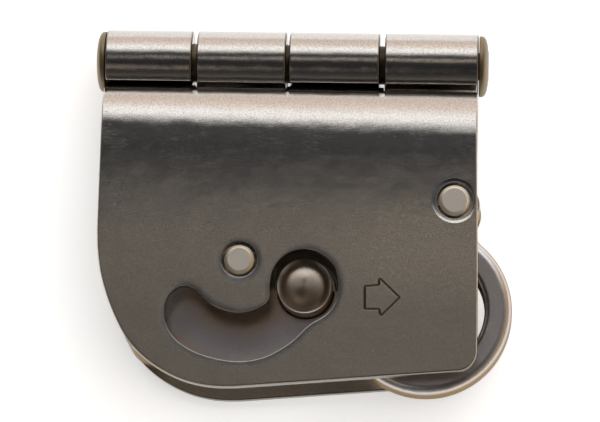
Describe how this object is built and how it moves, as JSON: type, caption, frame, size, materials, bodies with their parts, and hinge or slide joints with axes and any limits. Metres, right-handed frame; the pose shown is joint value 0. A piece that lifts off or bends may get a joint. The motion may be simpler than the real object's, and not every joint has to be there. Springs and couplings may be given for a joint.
{
  "type": "rope grab",
  "caption": "Hinged steel rope grab: plates curled round a hinge pin, a cam lever with a carabiner eye that pinches the rope, and a sprung latch whose domed knob shows in a curved window.",
  "frame": {"origin": "centre of the bounding box in X and Y, on the outer face of the rear plate in Z, so the grab lies on its rear plate as pictured", "axes": "+X along the hinge, towards the end with the carabiner eye (up the rope in use); +Y from the plates towards the hinge; +Z out of the opening front plate"},
  "size_m": [0.1024, 0.09, 0.025],
  "materials": {
    "plate_steel": "satin stainless sheet with fine brushed lines and softened edges",
    "pin_steel": "turned stainless bar, fine grain on the faces",
    "forged_steel": "tumbled cast stainless, smooth bluish grey",
    "latch_steel": "stainless plate with a purple-brown heat tint",
    "knob_steel": "turned dome, polished in circles",
    "washer_steel": "plain turned stainless",
    "spring_steel": "bright drawn spring wire"
  },
  "bodies": {
    "root": {"rear_plate": "plate_steel", "hinge_pin": "pin_steel", "hinge_pin_collar": "pin_steel", "cam_pivot_pin": "pin_steel", "cam_lower_spacer": "washer_steel", "cam_upper_spacer": "washer_steel", "cam_retaining_clip": "spring_steel", "cam_spring": "spring_steel", "cam_spring_anchor": "pin_steel", "cam_stop_pin": "pin_steel", "latch_pivot_pin": "pin_steel", "latch_bush": "washer_steel", "latch_spring": "spring_steel", "latch_spring_anchor": "pin_steel", "latch_retaining_clip": "spring_steel", "corner_spacer": "forged_steel", "spacer_screw": "pin_steel"},
    "cover": {"front_plate": "plate_steel"},
    "lever": {"cam_lever": "forged_steel"},
    "latch": {"latch_plate": "latch_steel", "spring_cup": "washer_steel", "knob_spring": "spring_steel"},
    "knob": {"lock_knob": "knob_steel", "knob_screw": "washer_steel"}
  },
  "joints": [
    {"name": "cover_hinge", "type": "hinge", "parent": "root", "child": "cover", "pos_m": [0.00006, 0.03709, 0.01225], "axis": [-1, 0, 0], "range_deg": [0, 175]},
    {"name": "cam_pivot", "type": "hinge", "parent": "root", "child": "lever", "pos_m": [0.0371, 0.00109, 0.01225], "axis": [0, 0, 1], "range_deg": [0, 55], "stiffness_Nm_per_rad": 0.05, "springref_deg": -11.46, "deforming": ["cam_spring"]},
    {"name": "latch_pivot", "type": "hinge", "parent": "root", "child": "latch", "pos_m": [-0.01425, -0.01409, 0.011], "axis": [0, 0, -1], "range_deg": [0, 112], "stiffness_Nm_per_rad": 0.02, "springref_deg": -17.19, "deforming": ["latch_spring"]},
    {"name": "knob_press", "type": "slide", "parent": "latch", "child": "knob", "axis": [0, 0, -1], "range_m": [0, 0.0015], "stiffness_N_per_m": 900, "springref_m": -0.002, "deforming": ["knob_spring"]}
  ]
}
